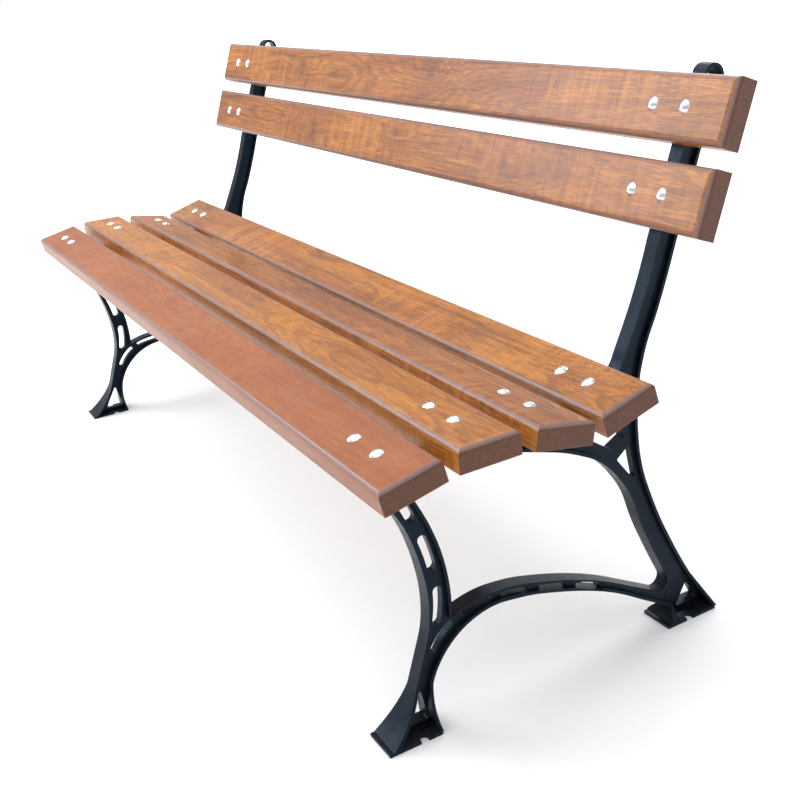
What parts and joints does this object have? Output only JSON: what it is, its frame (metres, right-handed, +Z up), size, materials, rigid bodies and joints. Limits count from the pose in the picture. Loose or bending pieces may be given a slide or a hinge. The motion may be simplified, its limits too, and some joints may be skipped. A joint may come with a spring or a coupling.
{
  "type": "garden bench",
  "caption": "Slatted wooden garden bench with curved seat and reclined back on two arched cast iron side frames.",
  "frame": {"origin": "on the ground, at the middle of the bench's length and overall depth", "axes": "+X along the slats, +Y from the seat's front edge to the back, +Z up"},
  "size_m": [1.8, 0.6426, 0.8597],
  "materials": {
    "cast_iron": "satin black paint",
    "wood": "orange-brown satin lacquer",
    "zinc_steel": "zinc plated"
  },
  "bodies": {
    "root": {"side_frame_left": "cast_iron", "side_frame_right": "cast_iron", "seat_slat_front": "wood", "seat_slat_front_bolts": "zinc_steel", "seat_slat_front_washers": "zinc_steel", "seat_slat_front_nuts": "zinc_steel", "seat_slat_second": "wood", "seat_slat_second_bolts": "zinc_steel", "seat_slat_second_washers": "zinc_steel", "seat_slat_second_nuts": "zinc_steel", "seat_slat_third": "wood", "seat_slat_third_bolts": "zinc_steel", "seat_slat_third_washers": "zinc_steel", "seat_slat_third_nuts": "zinc_steel", "seat_slat_rear": "wood", "seat_slat_rear_bolts": "zinc_steel", "seat_slat_rear_washers": "zinc_steel", "seat_slat_rear_nuts": "zinc_steel", "back_slat_lower": "wood", "back_slat_lower_bolts": "zinc_steel", "back_slat_lower_washers": "zinc_steel", "back_slat_lower_nuts": "zinc_steel", "back_slat_upper": "wood", "back_slat_upper_bolts": "zinc_steel", "back_slat_upper_washers": "zinc_steel", "back_slat_upper_nuts": "zinc_steel"}
  },
  "joints": []
}
